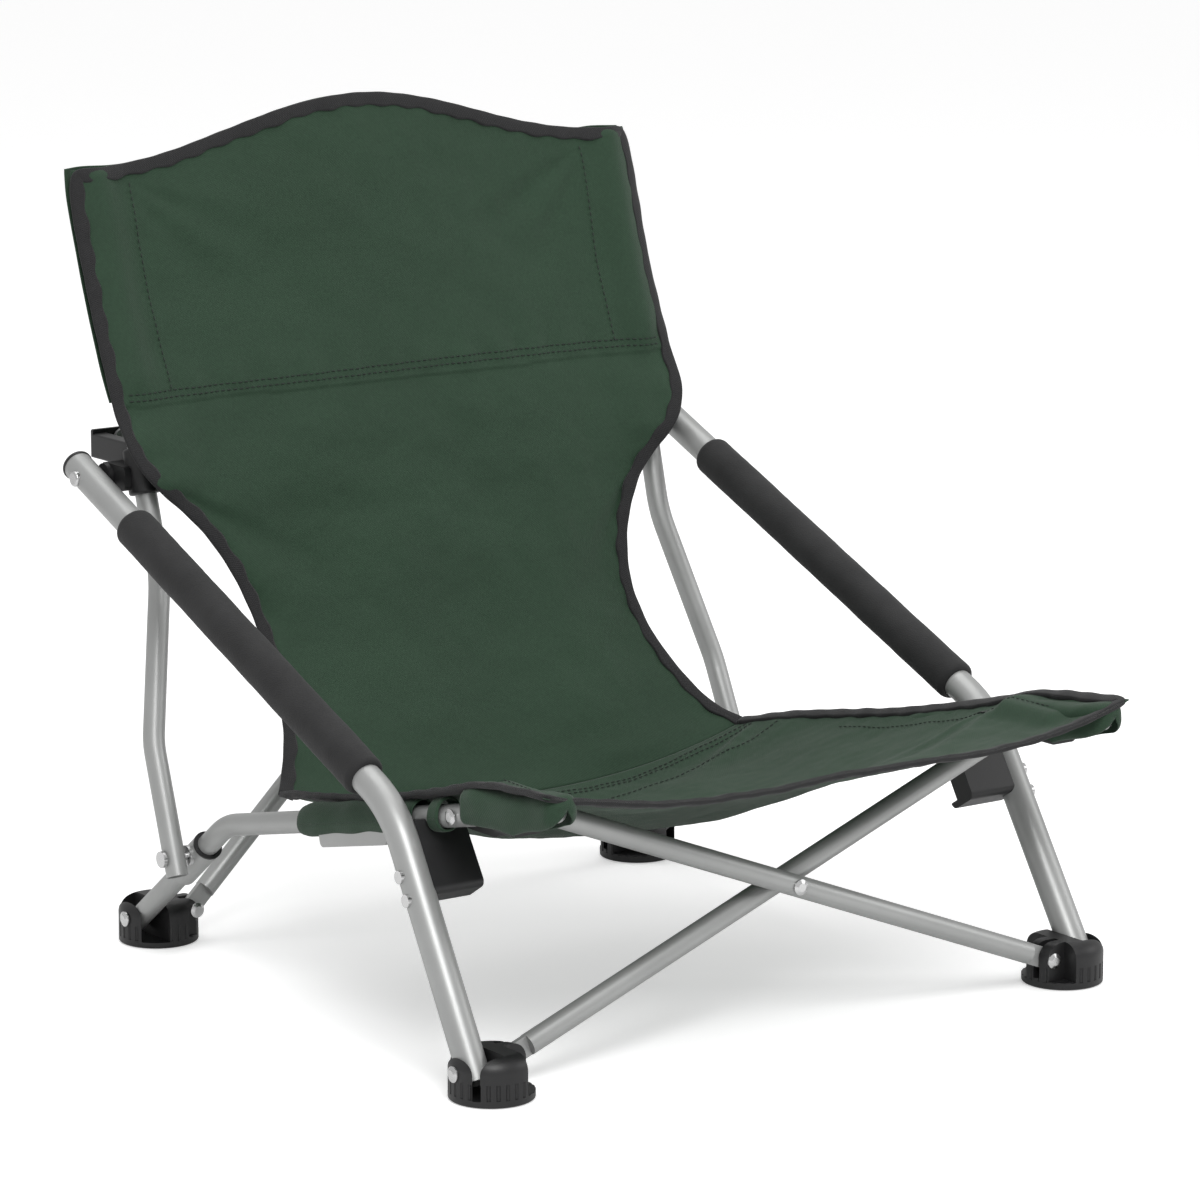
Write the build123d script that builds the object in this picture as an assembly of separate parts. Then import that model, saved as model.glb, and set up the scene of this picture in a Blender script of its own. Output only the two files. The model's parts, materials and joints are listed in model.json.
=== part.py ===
from build123d import *
import math
import os

os.makedirs("parts", exist_ok=True)

# ---------------------------------------------------------------- driving dimensions (mm)
ARM_R, ARM_WALL = 11.0, 1.5          # armrest and front leg tube
RAIL_R, RAIL_WALL = 8.0, 1.2         # side rail and rear leg tube
UPR_R, UPR_WALL = 8.0, 1.2           # back upright tube
X_R, X_WALL = 7.7, 1.2               # front and rear cross tubes
FOAM_R = 15.0                        # armrest foam sleeve
FOOT_R, FOOT_H = 29.4, 33.0
PIN_R, RUN = 3.0, 0.05               # rivet shank radius, running clearance
LUG_T, LUG_R = 3.6, 7.5              # flattened tube ends

FOOT_F = (249.0, -223.0)             # front foot centre
FOOT_B = (219.0, 254.0)              # rear foot centre
LEG_PIV = (263.0, -221.0, 20.0)      # front leg in its foot
ARM_BEND = (259.0, -123.0, 179.0)
ARM_TOP = (259.0, 290.0, 354.0)
ARM_BEND_R = 90.0

RAIL_X = 235.0
RAIL_PIV = (RAIL_X, 252.4, 20.0)     # rear leg in its foot
RAIL_BEND = (RAIL_X, 129.7, 113.7)
RAIL_SLOPE, RAIL_Z0 = -0.222, 142.5  # z of the rail's axis = RAIL_Z0 + RAIL_SLOPE * y
CORNER_Y = -168.0                    # rail pivot in the seat corner joint
NOSE_Y = (-194.0, -281.0)

UPR_PIV = (256.5, 168.0, 85.0)       # back upright on the rail's ferrule
UPR_KNEE = (253.0, 200.0, 163.0)
UPR_BEND = (225.0, 234.0, 277.0)
UPR_TOP = (228.8, 308.0, 546.0)

FX_X, FX_Z0, FX_ZC = 228.5, 20.5, 109.0   # front cross: pivots at +-FX_X, crossing height
FX_Y = (-211.5, -228.0)              # rear layer, front layer
RX_FOOT = (200.0, 24.0)              # rear cross: x and z of the foot pivots
RX_TOP = (206.0, 366.0)
TAB_Y0, TAB_Y1 = LUG_T / 2 + 1.9, LUG_T / 2 + 4.7   # bracket plate behind the rear cross tube end
RX_Y = ((240.0, 296.5), (257.5, 314.0))   # y at foot and top of each tube

SLIDER_Z = 352.0


def soften(shape, edges, r):
    """Round the edges, with a smaller radius where the full one has no room."""
    for k in (1.0, 0.5, 0.25):
        try:
            return fillet(edges, r * k)
        except ValueError:
            continue
    return shape


def rail_z(y):
    return RAIL_Z0 + RAIL_SLOPE * y


def vec(p):
    return Vector(*p)


def rod(p0, p1, r, ri=0.0):
    a, b = vec(p0), vec(p1)
    pl = Plane(origin=a, z_dir=b - a)
    out = Solid.make_cylinder(r, (b - a).length, pl)
    if ri:
        out = out - Solid.make_cylinder(ri, (b - a).length, pl)
    return out


def bent(points, radius, r, wall):
    path = FilletPolyline(*points, radius=radius)
    face = Plane(origin=path @ 0, z_dir=path % 0) * (Circle(r) - Circle(r - wall))
    return sweep(face, path=path)


def toward(p, q, d):
    a, b = vec(p), vec(q)
    u = (b - a).normalized()
    c = a + u * d
    return (c.X, c.Y, c.Z)


def box(x0, x1, y0, y1, z0, z1):
    return Pos((x0 + x1) / 2, (y0 + y1) / 2, (z0 + z1) / 2) * Box(abs(x1 - x0), abs(y1 - y0), abs(z1 - z0))


def rivet(p, axis, length, r=PIN_R, head_r=5.6, head_h=2.4):
    """Shank of the given length centred on p, with a domed head at each end."""
    a = vec(axis).normalized()
    c = vec(p)
    s0, s1 = c - a * (length / 2), c + a * (length / 2)
    out = Solid.make_cylinder(r, length, Plane(origin=s0, z_dir=a))
    for q, d in ((s0, a * -1), (s1, a)):
        out = out + Solid.make_cylinder(head_r, head_h * 0.4, Plane(origin=q, z_dir=d))
        out = out + Solid.make_cone(head_r, head_r * 0.55, head_h * 0.6, Plane(origin=q + d * (head_h * 0.4), z_dir=d))
    return out


def pin(inner, outer, r=PIN_R, head_r=5.6, head_h=2.4):
    """Shank from inner to outer with a domed head beyond outer."""
    a, b = vec(inner), vec(outer)
    d = (b - a).normalized()
    out = Solid.make_cylinder(r, (b - a).length, Plane(origin=a, z_dir=d))
    out = out + Solid.make_cylinder(head_r, head_h * 0.4, Plane(origin=b, z_dir=d))
    return out + Solid.make_cone(head_r, head_r * 0.55, head_h * 0.6, Plane(origin=b + d * (head_h * 0.4), z_dir=d))


def hole(p, axis, length, r):
    a = vec(axis).normalized()
    return Solid.make_cylinder(r, length, Plane(origin=vec(p) - a * (length / 2), z_dir=a))


nodes = {}


def add(name, shape):
    nodes[name] = shape


def sx(p, s):
    return (s * p[0], p[1], p[2])


def foot(cx, cy):
    body = extrude(Circle(FOOT_R), amount=FOOT_H)
    body = soften(body, body.faces().sort_by(Axis.Z)[-1].edges(), 11.0)
    body = soften(body, body.faces().sort_by(Axis.Z)[0].edges(), 1.6)
    ribs = PolarLocations(FOOT_R + 0.6, 28) * Cylinder(1.5, 11, align=(Align.CENTER, Align.CENTER, Align.MIN))
    body -= [Pos(0, 0, 5) * rib for rib in ribs]
    return Pos(cx, cy, 0) * body


def cross_tube(p, q, y0, y1, up_dir):
    """Straight tube with a flattened lug at both ends; pivots p and q in the XZ plane."""
    a, b = vec((p[0], y0, p[1])), vec((q[0], y1, q[1]))
    u = (b - a).normalized()
    lead = 24.0
    t0, t1 = a + u * (lead - 6), b - u * (lead - 6)
    out = Solid.make_cylinder(X_R, (t1 - t0).length, Plane(origin=t0, z_dir=u))
    for c, d in ((a, u), (b, u * -1)):
        side = d.cross(Vector(0, 1, 0)).normalized()
        plane = Plane(origin=c, x_dir=d, z_dir=side.cross(d).normalized())
        out = out + plane * (Pos(10.5, 0, 0) * Box(21, 2 * LUG_R, LUG_T))
        out = out + plane * Cylinder(LUG_R, LUG_T)
    i0, i1 = a + u * lead, b - u * lead
    out = out - Solid.make_cylinder(X_R - X_WALL, (i1 - i0).length, Plane(origin=i0, z_dir=u))
    return out


LEG_END = toward(LEG_PIV, ARM_BEND, -9.0)
RAIL_END = toward(RAIL_PIV, RAIL_BEND, -9.0)
CORNER = (RAIL_X, CORNER_Y, rail_z(CORNER_Y))
RAIL_TIP = (RAIL_X, CORNER_Y - 15.0, rail_z(CORNER_Y - 15.0))
FX_ZT = 2 * FX_ZC - FX_Z0
UPR_U = (vec(UPR_TOP) - vec(UPR_BEND)).normalized()
UPR_LOW = toward(UPR_PIV, UPR_KNEE, -14.0)


def on_upright(z):
    t = (z - UPR_BEND[2]) / (UPR_TOP[2] - UPR_BEND[2])
    return tuple(UPR_BEND[i] + t * (UPR_TOP[i] - UPR_BEND[i]) for i in range(3))


SLIDE_C = on_upright(SLIDER_Z)
RAIL_U = Vector(0, -1, 0.222).normalized()
LOW_U = (vec(RAIL_BEND) - vec(RAIL_PIV)).normalized()

for s, side in ((-1, "left"), (1, "right")):
    fx_y = FX_Y[0] if s < 0 else FX_Y[1]          # this foot's cross tube layer
    top_y = FX_Y[1] if s < 0 else FX_Y[0]         # the cross tube that ends at this corner
    rx_y = RX_Y[0] if s < 0 else RX_Y[1]
    rt_y = RX_Y[1] if s < 0 else RX_Y[0]

    # ---- front foot: pocket for the leg, slot for the cross tube's lug
    f = foot(s * FOOT_F[0], FOOT_F[1])
    lx = s * LEG_PIV[0]
    f -= box(lx - 11.6, lx + 11.6, LEG_PIV[1] - 21, LEG_PIV[1] + 22, 4.5, 60)
    f -= box(s * 205, s * (FX_X + 10.5), fx_y - LUG_T / 2 - 0.5, fx_y + LUG_T / 2 + 0.5, 7, 60)
    f -= rod((s * 242, LEG_PIV[1], LEG_PIV[2]), (s * 290, LEG_PIV[1], LEG_PIV[2]), PIN_R)
    f -= hole((s * FX_X, fx_y, FX_Z0), (0, 1, 0), 20, PIN_R)
    f -= box(s * 205, s * (FX_X + 10), fx_y - 60, fx_y - 9.5, 5.5, 60)
    f -= box(s * 205, s * (FX_X + 10), fx_y + 9.5, fx_y + 60, 5.5, 60)
    add(f"foot_front_{side}", f)
    add(f"leg_foot_rivet_{side}", pin((s * 242, LEG_PIV[1], LEG_PIV[2]), (s * (FOOT_F[0] + FOOT_R), LEG_PIV[1], LEG_PIV[2])))
    add(f"front_cross_foot_rivet_{side}", rivet((s * FX_X, fx_y, FX_Z0), (0, 1, 0), 19.0))

    # ---- rear foot
    f = foot(s * FOOT_B[0], FOOT_B[1])
    rx = s * RAIL_X
    f -= box(rx - 8.5, rx + 8.5, 214, 276, 4.5, 60)
    f -= box(s * 180, s * (RX_FOOT[0] + 10.5), rx_y[0] - LUG_T / 2 - 1.2, rx_y[0] + LUG_T / 2 + 1.2, 8, 60)
    f -= rod((s * 218, RAIL_PIV[1], RAIL_PIV[2]), (s * 260, RAIL_PIV[1], RAIL_PIV[2]), PIN_R)
    f -= hole((s * RX_FOOT[0], rx_y[0], RX_FOOT[1]), (0, 1, 0), 24, PIN_R)
    f -= box(s * 180, s * (RX_FOOT[0] + 9.5), rx_y[0] - 60, rx_y[0] - 9.5, 6, 60)
    f -= box(s * 180, s * (RX_FOOT[0] + 9.5), rx_y[0] + 9.5, rx_y[0] + 60, 6, 60)
    add(f"foot_rear_{side}", f)
    add(f"rail_foot_rivet_{side}", pin((s * 218, RAIL_PIV[1], RAIL_PIV[2]), (s * (FOOT_B[0] + FOOT_R), RAIL_PIV[1], RAIL_PIV[2])))
    add(f"rear_cross_foot_rivet_{side}", rivet((s * RX_FOOT[0], rx_y[0], RX_FOOT[1]), (0, 1, 0), 19.0))

    # ---- armrest and front leg tube
    a = bent([sx(LEG_END, s), sx(ARM_BEND, s), sx(ARM_TOP, s)], ARM_BEND_R, ARM_R, ARM_WALL)
    a -= hole(sx(LEG_PIV, s), (1, 0, 0), 40, PIN_R + RUN)
    KNOB = toward(ARM_TOP, ARM_BEND, 16.0)
    a -= hole(sx(KNOB, s), (1, 0, 0), 40, PIN_R)
    add(f"arm_leg_tube_{side}", a)
    ARM_V = (vec(ARM_TOP) - vec(ARM_BEND)).normalized()
    cap0 = sx(ARM_TOP, s)
    cap = Plane(origin=cap0, z_dir=(0, ARM_V.Y, ARM_V.Z)) * (Cylinder(ARM_R - ARM_WALL, 9, align=(Align.CENTER, Align.CENTER, Align.MAX)) + fillet(extrude(Circle(ARM_R + 0.6), amount=3.4).faces().sort_by(Axis.Z)[-1].edges(), 2.2))
    add(f"arm_end_cap_{side}", cap)
    fm0, fm1 = toward(ARM_BEND, ARM_TOP, 37.0), toward(ARM_BEND, ARM_TOP, 365.0)
    foam = rod(sx(fm0, s), sx(fm1, s), FOAM_R, ARM_R)
    add(f"armrest_foam_{side}", foam)
    # head of the slider's pin on the outside of the arm tube
    kp = sx(KNOB, s)
    knob = rod((kp[0] - s * (ARM_R - 0.2), kp[1], kp[2]), (kp[0] + s * (ARM_R + 0.6), kp[1], kp[2]), PIN_R)
    kd = Plane(origin=(kp[0] + s * (ARM_R - 1.2), kp[1], kp[2]), z_dir=(s, 0, 0)) * fillet(extrude(Circle(5.8), amount=3.6).faces().sort_by(Axis.Z)[-1].edges(), 1.8)
    kd -= rod(sx(toward(ARM_TOP, ARM_BEND, -5), s), sx(toward(ARM_TOP, ARM_BEND, 40), s), ARM_R)
    add(f"arm_end_rivet_{side}", knob + kd)

    # ---- saddle on the inner side of the front leg: a shelf that takes the rail
    leg_u = (vec(ARM_BEND) - vec(LEG_PIV)).normalized()
    sad = Plane(origin=(s * 234.0, -138.0, 146.0), x_dir=(0, leg_u.Y, leg_u.Z), z_dir=(-1, 0, 0)) * Box(58, 26, 42)
    sad = soften(sad, sad.edges().filter_by(Axis.X), 5.0)
    sad -= rod((s * RAIL_X, 0, rail_z(0)), (s * RAIL_X, -300, rail_z(-300)), RAIL_R + 0.4)
    sad -= Plane(origin=(s * 225, -138.0, rail_z(-138) + 20), x_dir=(0, -1, 0.222), z_dir=(1, 0, 0)) * Box(120, 40, 70)
    sad -= Plane(origin=(s * 216, -132.0, 132.0), x_dir=(0, leg_u.Y, leg_u.Z), z_dir=(-1, 0, 0)) * Box(30, 14, 26)
    legax = rod(sx(toward(LEG_PIV, ARM_BEND, 90), s), sx(toward(LEG_PIV, ARM_BEND, 190), s), ARM_R)
    sad -= legax
    add(f"rail_saddle_{side}", sad)
    r1 = toward(LEG_PIV, ARM_BEND, 122.0)
    r2 = toward(LEG_PIV, ARM_BEND, 139.0)
    add(f"saddle_rivets_{side}", Compound(children=[
        rod((s * (r[0] + ARM_R - 2.2), r[1], r[2]), (s * (r[0] + ARM_R + 2.0), r[1], r[2]), 4.6)
        - rod(sx(LEG_PIV, s), sx(toward(LEG_PIV, ARM_BEND, 175), s), ARM_R + 0.03) for r in (r1, r2)]))

    # ---- side rail and rear leg tube
    b = bent([sx(RAIL_END, s), sx(RAIL_BEND, s), sx(RAIL_TIP, s)], 60.0, RAIL_R, RAIL_WALL)
    b -= hole(sx(RAIL_PIV, s), (1, 0, 0), 40, PIN_R + RUN)
    b -= hole(sx(CORNER, s), (1, 0, 0), 40, PIN_R + RUN)
    add(f"side_rail_tube_{side}", b)
    fe0, fe1 = toward(UPR_PIV, (UPR_PIV[0], RAIL_PIV[1], RAIL_PIV[2]), 22.0), toward(UPR_PIV, (UPR_PIV[0], RAIL_BEND[1], RAIL_BEND[2]), 14.0)
    base = vec((RAIL_X, RAIL_PIV[1], RAIL_PIV[2]))
    d_piv = (vec((RAIL_X, UPR_PIV[1], UPR_PIV[2])) - base).dot(LOW_U)
    fer0, fer1 = base + LOW_U * (d_piv - 30), base + LOW_U * (d_piv + 13)
    fer = rod((s * RAIL_X, fer0.Y, fer0.Z), (s * RAIL_X, fer1.Y, fer1.Z), 10.8, RAIL_R)
    rp = base + LOW_U * d_piv
    add(f"rail_ferrule_{side}", fer)
    rg1 = fer1 + LOW_U * 1.6
    add(f"ferrule_ring_{side}", rod((s * RAIL_X, fer1.Y, fer1.Z), (s * RAIL_X, rg1.Y, rg1.Z), 11.0, RAIL_R))
    # channel under the rail
    ch = Plane(origin=(s * RAIL_X, -44.0, rail_z(-44.0) - 11.5), x_dir=(0, -1, 0.222), z_dir=(1, 0, 0)) * Box(86, 13, 13)
    ch = soften(ch, ch.edges().filter_by(Axis.X), 4.0)
    ch -= rod((s * RAIL_X, 100, rail_z(100)), (s * RAIL_X, -200, rail_z(-200)), RAIL_R + 0.02)
    add(f"rail_channel_{side}", ch)

    # ---- seat corner joint: ear beside the rail, block around the cross tube's lug, nose tube
    czn = rail_z(top_y)
    ear = box(s * 219.0, s * 226.4, -202.0, CORNER_Y + 11, CORNER[2] - 11, CORNER[2] + 11)
    ear = soften(ear, ear.edges().filter_by(Axis.X), 8.0)
    blk = box(s * 219.0, s * 243.5, -240.0, -193.0, 180.0, 203.6)
    blk = soften(blk, blk.edges().filter_by(Axis.Y), 4.0)
    cj = ear + blk
    cj -= box(s * 150, s * 260, top_y - LUG_T / 2 - 0.5, top_y + LUG_T / 2 + 0.5, 150, 230)
    cj -= box(s * 150, s * (FX_X - 4.6), top_y - X_R - 1.0, top_y + X_R + 1.0, 150, 230)
    cj -= box(s * 150, s * (FX_X + 9.0), top_y - X_R - 1.0, top_y + X_R + 1.0, 150, 184.5)
    if top_y > -220:
        cj += box(s * 237.8, s * 243.5, -222.0, -202.0, 180.5, 192.0)
    else:
        cj += box(s * 237.8, s * 243.5, -239.0, -219.0, 180.5, 192.0)
    cj -= hole(sx(CORNER, s), (1, 0, 0), 60, PIN_R)
    cj -= rod((s * FX_X, -238.5, FX_ZT), (s * FX_X, -150.0, FX_ZT), PIN_R)
    add(f"seat_corner_joint_{side}", cj)
    cr = rivet((s * 231.3, CORNER[1], CORNER[2]), (1, 0, 0), 24.7, head_h=1.8)
    add(f"corner_rail_rivet_{side}", cr)
    add(f"front_cross_top_rivet_{side}", pin((s * FX_X, -238.5, FX_ZT), (s * FX_X, -193.0, FX_ZT), head_r=4.6, head_h=1.6))
    n0, n1 = (s * RAIL_X, -241.8, rail_z(-241.8)), (s * RAIL_X, NOSE_Y[1], rail_z(NOSE_Y[1]))
    nose = rod(n0, n1, RAIL_R)
    nose = soften(nose, nose.faces().sort_by(Axis.Y)[0].edges(), 3.0)
    add(f"rail_nose_{side}", nose)

    # ---- back upright, its pivot on the ferrule, top cap, sliding arm bracket
    c = bent([sx(UPR_LOW, s), sx(UPR_KNEE, s), sx(UPR_BEND, s), sx(UPR_TOP, s)], [75.0, 110.0], UPR_R, UPR_WALL)
    c -= hole(sx(UPR_PIV, s), (1, 0, 0), 40, PIN_R + RUN)
    add(f"back_upright_{side}", c)
    pv = rod((s * (RAIL_X + 10.8), UPR_PIV[1], UPR_PIV[2]), (s * (UPR_PIV[0] + 9.0), UPR_PIV[1], UPR_PIV[2]), PIN_R)
    hd = rod((s * (UPR_PIV[0] + 9.0), UPR_PIV[1], UPR_PIV[2]), (s * (UPR_PIV[0] + 11.6), UPR_PIV[1], UPR_PIV[2]), 6.0)
    wa = rod((s * (RAIL_X + 9.0), UPR_PIV[1], UPR_PIV[2]), (s * (RAIL_X + 12.2), UPR_PIV[1], UPR_PIV[2]), 7.5)
    wa -= rod((s * RAIL_X, fer0.Y, fer0.Z), (s * RAIL_X, fer1.Y, fer1.Z), 10.8)
    add(f"upright_pivot_rivet_{side}", pv + hd + wa)
    tp = sx(UPR_TOP, s)
    cap = Plane(origin=tp, z_dir=(s * UPR_U.X, UPR_U.Y, UPR_U.Z)) * (Cylinder(UPR_R - UPR_WALL - 0.05, 10, align=(Align.CENTER, Align.CENTER, Align.MAX)) + fillet(extrude(Circle(UPR_R + 0.8), amount=7).faces().sort_by(Axis.Z)[-1].edges(), 5.0))
    add(f"upright_cap_{side}", cap)
    sc = sx(SLIDE_C, s)
    pl = Plane(origin=sc, x_dir=(s, 0, 0), z_dir=(0, UPR_U.Y, UPR_U.Z))
    q0, q1 = on_upright(300), on_upright(420)
    core = fillet(extrude(pl.offset(-17) * Circle(12.0), amount=34).edges().filter_by(GeomType.CIRCLE), 2.0)
    boss = rod((sc[0] + s * 6, KNOB[1], KNOB[2]), (s * 246.6, KNOB[1], KNOB[2]), 9.0)
    arm = box(sc[0] + s * 4, s * 243.0, sc[1] - 4, KNOB[1] + 8, KNOB[2] - 9, KNOB[2] + 9)
    arm = soften(arm, arm.edges().filter_by(Axis.X), 4.0)
    ly = rt_y[1]
    back0, back1 = min(sc[1], ly), ly
    tab = box(sc[0] - s * 8, sc[0] + s * 4, sc[1] + 4, ly + TAB_Y1, 353, 371)
    tab += box(s * (RX_TOP[0] - 6.5), sc[0] + s * 4, ly + TAB_Y0, ly + TAB_Y1, RX_TOP[1] - 6.5, RX_TOP[1] + 8)
    tab = soften(tab, tab.edges().filter_by(Axis.Y), 3.0)
    sl = core + boss + arm + tab
    uax = rod(sx(on_upright(295), s), sx(on_upright(UPR_TOP[2] + 40), s), UPR_R + 0.35)
    sl -= uax
    sl -= hole((s * RX_TOP[0], ly, RX_TOP[1]), (0, 1, 0), 60, PIN_R)
    add(f"arm_slider_{side}", sl)
    tr = rod((s * RX_TOP[0], ly + TAB_Y0, RX_TOP[1]), (s * RX_TOP[0], ly + TAB_Y1, RX_TOP[1]), PIN_R)
    tr += rod((s * RX_TOP[0], ly + TAB_Y1, RX_TOP[1]), (s * RX_TOP[0], ly + TAB_Y1 + 1.4, RX_TOP[1]), 5.4)
    add(f"slider_rivet_{side}", tr)

# ---- front cross: one tube from each foot to the opposite seat corner
f1 = cross_tube((-FX_X, FX_Z0), (FX_X, FX_ZT), FX_Y[0], FX_Y[0], 1)
f2 = cross_tube((FX_X, FX_Z0), (-FX_X, FX_ZT), FX_Y[1], FX_Y[1], 1)
for sh, y, sg, nm in ((f1, FX_Y[0], -1, "left"), (f2, FX_Y[1], 1, "right")):
    sh -= hole((sg * FX_X, y, FX_Z0), (0, 1, 0), 30, PIN_R + RUN)
    sh -= hole((-sg * FX_X, y, FX_ZT), (0, 1, 0), 30, PIN_R + RUN)
    sh -= hole((0, y, FX_ZC), (0, 1, 0), 30, PIN_R + (0 if sg < 0 else RUN))
    add(f"front_cross_tube_{nm}", sh)
add("front_cross_rivet", rivet((0, (FX_Y[0] + FX_Y[1]) / 2, FX_ZC), (0, 1, 0), 16.5 + 2 * X_R + 0.6))

# ---- rear cross: from each rear foot to the opposite sliding bracket
r1 = cross_tube((-RX_FOOT[0], RX_FOOT[1]), RX_TOP, RX_Y[0][0], RX_Y[0][1], 1)
r2 = cross_tube((RX_FOOT[0], RX_FOOT[1]), (-RX_TOP[0], RX_TOP[1]), RX_Y[1][0], RX_Y[1][1], 1)
RXC = RX_FOOT[1] + (RX_TOP[1] - RX_FOOT[1]) * RX_FOOT[0] / (RX_FOOT[0] + RX_TOP[0])
tc = RX_FOOT[0] / (RX_FOOT[0] + RX_TOP[0])
yc1 = RX_Y[0][0] + (RX_Y[0][1] - RX_Y[0][0]) * tc
for sh, (ya, yb), sg, nm in ((r1, RX_Y[0], -1, "left"), (r2, RX_Y[1], 1, "right")):
    sh -= hole((sg * RX_FOOT[0], ya, RX_FOOT[1]), (0, 1, 0), 30, PIN_R + RUN)
    if sg < 0:
        sh -= hole((0, yc1, RXC), (0, 1, 0), 30, PIN_R)
    add(f"rear_cross_tube_{nm}", sh)
add("rear_cross_rivet", rod((0, yc1 - X_R - 1.0, RXC), (0, yc1 + X_R, RXC), PIN_R) + rod((0, yc1 - X_R - 3.0, RXC), (0, yc1 - X_R - 0.9, RXC), 5.6))

# ---- fabric, as plain closed sheets
SEAT_T = 2.5
def seat_pt(x, y):
    return (x, y, rail_z(y) + 11.0)
pts = [(-250, -290), (250, -290), (250, -247), (208, -247), (208, -152), (243, -146), (243, -60), (215, 96),
       (-215, 96), (-243, -60), (-243, -146), (-208, -152), (-208, -247), (-250, -247)]
seat = extrude(make_face(Polyline(*[seat_pt(*p) for p in pts], close=True)), amount=SEAT_T, dir=(0, 0, 1))
add("seat_sling", seat)
ux, uy, uz = UPR_TOP[0] - UPR_BEND[0], UPR_TOP[1] - UPR_BEND[1], UPR_TOP[2] - UPR_BEND[2]
def back_pt(x, z):
    return (x, UPR_BEND[1] + uy / uz * (z - UPR_BEND[2]) - 12.5, z)
bp = [(-249, 398), (249, 398), (249, 470), (247, 566), (236, 578), (150, 590), (70, 601), (0, 605), (-70, 601), (-150, 590), (-236, 578), (-247, 566), (-249, 470)]
back = extrude(make_face(Polyline(*[back_pt(*p) for p in bp], close=True)), amount=2.5, dir=(0, 1, 0))
lo = [(-212, 118.0, 125.0), (212, 118.0, 125.0), (205, back_pt(0, 398)[1], 398.0), (-205, back_pt(0, 398)[1], 398.0)]
low = extrude(make_face(Polyline(*lo, close=True)), amount=2.5, dir=(0, 1, 0))
add("back_sling", back + low)

# ---------------------------------------------------------------- place the origin and write
lo_y = min(n.bounding_box().min.Y for n in nodes.values())
hi_y = max(n.bounding_box().max.Y for n in nodes.values())
SHIFT_Y = -(lo_y + hi_y) / 2
for name, shape in nodes.items():
    export_step(Pos(0, SHIFT_Y, 0) * shape, f"parts/{name}.step")
print(len(nodes), "nodes; shift", round(SHIFT_Y, 4))
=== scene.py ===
import bpy, bmesh, json, math
import numpy as np
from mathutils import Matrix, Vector, noise


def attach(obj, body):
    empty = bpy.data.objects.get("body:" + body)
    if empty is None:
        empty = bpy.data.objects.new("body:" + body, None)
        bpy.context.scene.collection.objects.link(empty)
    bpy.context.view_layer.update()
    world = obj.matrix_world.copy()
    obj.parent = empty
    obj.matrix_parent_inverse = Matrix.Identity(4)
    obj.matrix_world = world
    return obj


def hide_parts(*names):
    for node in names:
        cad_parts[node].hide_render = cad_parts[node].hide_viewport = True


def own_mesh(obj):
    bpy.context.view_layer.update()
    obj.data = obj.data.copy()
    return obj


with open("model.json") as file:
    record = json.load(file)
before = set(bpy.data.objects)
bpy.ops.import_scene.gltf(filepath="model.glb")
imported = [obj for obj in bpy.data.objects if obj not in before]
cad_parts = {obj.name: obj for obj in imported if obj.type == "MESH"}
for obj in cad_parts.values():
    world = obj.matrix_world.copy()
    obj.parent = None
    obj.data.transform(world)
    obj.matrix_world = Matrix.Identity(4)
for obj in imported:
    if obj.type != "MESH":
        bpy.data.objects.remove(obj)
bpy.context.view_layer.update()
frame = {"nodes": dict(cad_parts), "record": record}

SHY = float(frame["record"]["mounts"][0]["pos_m"][1]) * 1000 + 223.0   # working frame to row frame, in y, mm
N = frame["nodes"]


def W(p):
    """Working millimetres to row-frame metres."""
    return Vector((p[0] / 1000.0, (p[1] + SHY) / 1000.0, p[2] / 1000.0))


# ------------------------------------------------------------------ camera
az, el, dist = math.radians(-35.74), math.radians(11.42), 3836.0
tgt = W((0.0, -0.4, 271.5))
back = Vector((math.sin(az) * math.cos(el), -math.cos(az) * math.cos(el), math.sin(el)))
cam_d = bpy.data.cameras.new("camera")
cam_d.sensor_width = 36.0
cam_d.lens = 5362.0 / 1200.0 * 36.0
cam_d.clip_end = 50
cam = bpy.data.objects.new("camera", cam_d)
bpy.context.scene.collection.objects.link(cam)
cam.location = tgt + back * (dist / 1000.0)
cam.rotation_euler = back.to_track_quat("Z", "Y").to_euler()
bpy.context.scene.camera = cam


# ------------------------------------------------------------------ materials
def new_mat(name):
    m = bpy.data.materials.new(name)
    m.use_nodes = True
    nt = m.node_tree
    b = nt.nodes["Principled BSDF"]
    return m, nt, b


def link(nt, a, b):
    nt.links.new(a, b)


def ramp(nt, fac, c0, c1, p0=0.0, p1=1.0):
    r = nt.nodes.new("ShaderNodeValToRGB")
    r.color_ramp.elements[0].position, r.color_ramp.elements[1].position = p0, p1
    r.color_ramp.elements[0].color = (*c0, 1)
    r.color_ramp.elements[1].color = (*c1, 1)
    link(nt, fac, r.inputs[0])
    return r


def noise_tex(nt, scale, detail=4.0, rough=0.5, vec=None):
    n = nt.nodes.new("ShaderNodeTexNoise")
    n.inputs["Scale"].default_value = scale
    n.inputs["Detail"].default_value = detail
    n.inputs["Roughness"].default_value = rough
    if vec is not None:
        link(nt, vec, n.inputs["Vector"])
    return n


def bump(nt, height, strength, distance, prev=None):
    b = nt.nodes.new("ShaderNodeBump")
    b.inputs["Strength"].default_value = strength
    b.inputs["Distance"].default_value = distance
    link(nt, height, b.inputs["Height"])
    if prev is not None:
        link(nt, prev.outputs[0], b.inputs["Normal"])
    return b


def obj_coord(nt):
    return nt.nodes.new("ShaderNodeTexCoord").outputs["Object"]


def math_node(nt, op, a, b=None, val=None):
    n = nt.nodes.new("ShaderNodeMath")
    n.operation = op
    link(nt, a, n.inputs[0])
    if b is not None:
        link(nt, b, n.inputs[1])
    elif val is not None:
        n.inputs[1].default_value = val
    return n


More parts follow.
